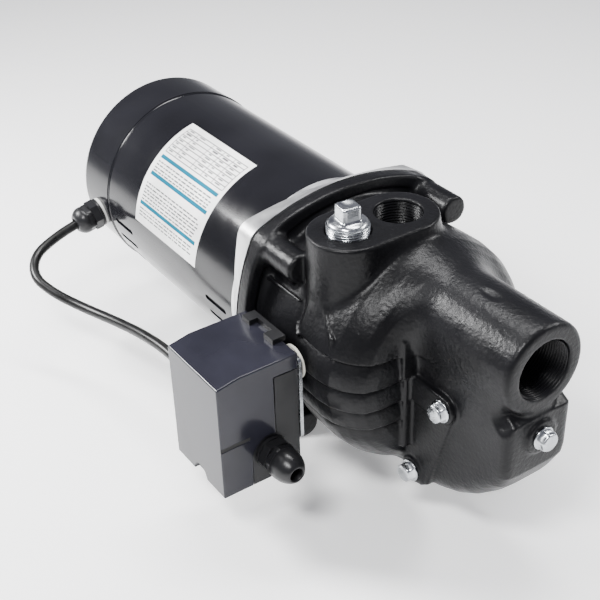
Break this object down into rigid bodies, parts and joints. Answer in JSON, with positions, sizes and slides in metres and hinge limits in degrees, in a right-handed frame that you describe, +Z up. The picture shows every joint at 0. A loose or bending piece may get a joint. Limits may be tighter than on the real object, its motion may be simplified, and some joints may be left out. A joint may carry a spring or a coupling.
{
  "type": "shallow well jet pump",
  "caption": "Close-coupled electric jet pump for shallow wells: round motor, cast-iron casing with jet nose, priming plug, plugs, pressure switch and short power cable between them.",
  "frame": {"origin": "on the floor, midway between the two slots of the foot", "axes": "+X along the shaft towards the suction port, +Z up out of the discharge port, -Y the pressure-switch side"},
  "size_m": [0.516, 0.264, 0.2427],
  "materials": {
    "motor_paint": "gloss black enamel",
    "bell_aluminium": "die-cast, satin",
    "cast_iron": "sand-cast, semi-gloss black paint",
    "zinc_steel": "bright zinc plated",
    "foot_steel": "black painted pressed steel",
    "core_steel": "laminated electrical steel",
    "winding_copper": "varnished copper wire",
    "cage_aluminium": "cast",
    "shaft_steel": "ground",
    "governor_plastic": "phenolic",
    "contact_brass": "rolled",
    "capacitor_case": "moulded",
    "label_foil": "printed foil",
    "seal_plate_iron": "machined",
    "seal_rubber": "moulded",
    "seal_ceramic": "lapped ceramic",
    "seal_graphite": "lapped carbon",
    "impeller_plastic": "glass-filled plastic",
    "priming_plug_zinc": "cast, zinc plated",
    "switch_plastic": "moulded",
    "switch_base_plastic": "moulded",
    "diaphragm_rubber": "moulded",
    "ivory_fibre": "plain",
    "washer_grey": "plain",
    "gland_plastic": "moulded nylon",
    "cable_rubber": "smooth sheath"
  },
  "bodies": {
    "pump": {"bearing_outer_races": "shaft_steel", "cable": "cable_rubber", "canopy_screws": "zinc_steel", "case_bolts": "zinc_steel", "casing_o_ring": "seal_rubber", "contact_block": "switch_base_plastic", "contact_terminals": "contact_brass", "diffuser": "impeller_plastic", "foot_bolts": "zinc_steel", "front_end_bell": "bell_aluminium", "gland_bodies": "gland_plastic", "gland_locknuts": "gland_plastic", "gland_seals": "seal_rubber", "inlet_washer": "ivory_fibre", "jet_nozzle": "impeller_plastic", "motor_gland_nut": "gland_plastic", "motor_gland_washer": "washer_grey", "motor_shell": "motor_paint", "mounting_foot": "foot_steel", "port_plugs": "zinc_steel", "pump_casing": "cast_iron", "range_spring": "shaft_steel", "range_stud": "zinc_steel", "rating_label": "label_foil", "rear_canopy": "motor_paint", "rear_end_bell": "bell_aluminium", "seal_plate": "seal_plate_iron", "seal_seat": "seal_ceramic", "start_capacitor": "capacitor_case", "stator_core": "core_steel", "stator_windings": "winding_copper", "switch_base": "switch_base_plastic", "switch_diaphragm": "diaphragm_rubber", "switch_front_gland_nut": "gland_plastic", "switch_latch": "switch_plastic", "switch_nipple": "zinc_steel", "switch_plate": "zinc_steel", "switch_rear_gland_nut": "gland_plastic", "terminal_board": "governor_plastic", "through_bolts": "zinc_steel", "venturi_tube": "impeller_plastic"},
    "rotor": {"motor_shaft": "shaft_steel", "rotor_core": "core_steel", "rotor_cage_rings": "cage_aluminium", "bearing_inner_races": "shaft_steel", "governor_base": "governor_plastic", "impeller": "impeller_plastic", "seal_carbon": "seal_graphite", "seal_bellows": "seal_rubber", "seal_spring": "shaft_steel", "water_slinger": "seal_rubber"},
    "ball_cages": {"bearing_balls": "shaft_steel"},
    "governor": {"governor_collar": "governor_plastic"},
    "start_contact": {"start_contact_arm": "contact_brass"},
    "plunger": {"switch_plunger": "switch_base_plastic"},
    "rocker": {"switch_rocker": "switch_base_plastic", "moving_contacts": "contact_brass"},
    "hood": {"switch_hood": "switch_plastic"},
    "priming": {"priming_plug": "priming_plug_zinc"},
    "drain": {"drain_plug": "zinc_steel"}
  },
  "joints": [
    {"name": "rotor_spin", "type": "hinge", "parent": "pump", "child": "rotor", "pos_m": [0.0085, 0, 0.122], "axis": [1, 0, 0], "continuous": true},
    {"name": "ball_cages_spin", "type": "hinge", "parent": "pump", "child": "ball_cages", "pos_m": [0.0085, 0, 0.122], "axis": [1, 0, 0], "continuous": true},
    {"name": "governor_slide", "type": "slide", "parent": "rotor", "child": "governor", "axis": [1, 0, 0], "range_m": [0, 0.003], "stiffness_N_per_m": 300},
    {"name": "start_contact_tilt", "type": "hinge", "parent": "pump", "child": "start_contact", "pos_m": [-0.2345, 0, 0.083], "axis": [0, 1, 0], "range_deg": [0, 9]},
    {"name": "plunger_press", "type": "slide", "parent": "pump", "child": "plunger", "axis": [0, -1, 0], "range_m": [0, 0.0015], "stiffness_N_per_m": 500},
    {"name": "rocker_tilt", "type": "hinge", "parent": "pump", "child": "rocker", "pos_m": [0.0905, -0.1154, 0.112], "axis": [1, 0, 0], "range_deg": [0, 5], "deforming": ["range_spring"]},
    {"name": "hood_lift", "type": "slide", "parent": "pump", "child": "hood", "axis": [0, -1, 0], "range_m": [0, 0.09]},
    {"name": "priming_plug_out", "type": "slide", "parent": "pump", "child": "priming", "axis": [0, 0, 1], "range_m": [0, 0.03]},
    {"name": "drain_plug_out", "type": "slide", "parent": "pump", "child": "drain", "axis": [0, -1, 0], "range_m": [0, 0.015]}
  ],
  "couplings": [
    {"joint": "ball_cages_spin", "follows": "rotor_spin", "ratio": 0.3986},
    {"joint": "start_contact_tilt", "follows": "governor_slide", "rad_per_m": 49.4},
    {"joint": "rocker_tilt", "follows": "plunger_press", "rad_per_m": 52.6}
  ]
}
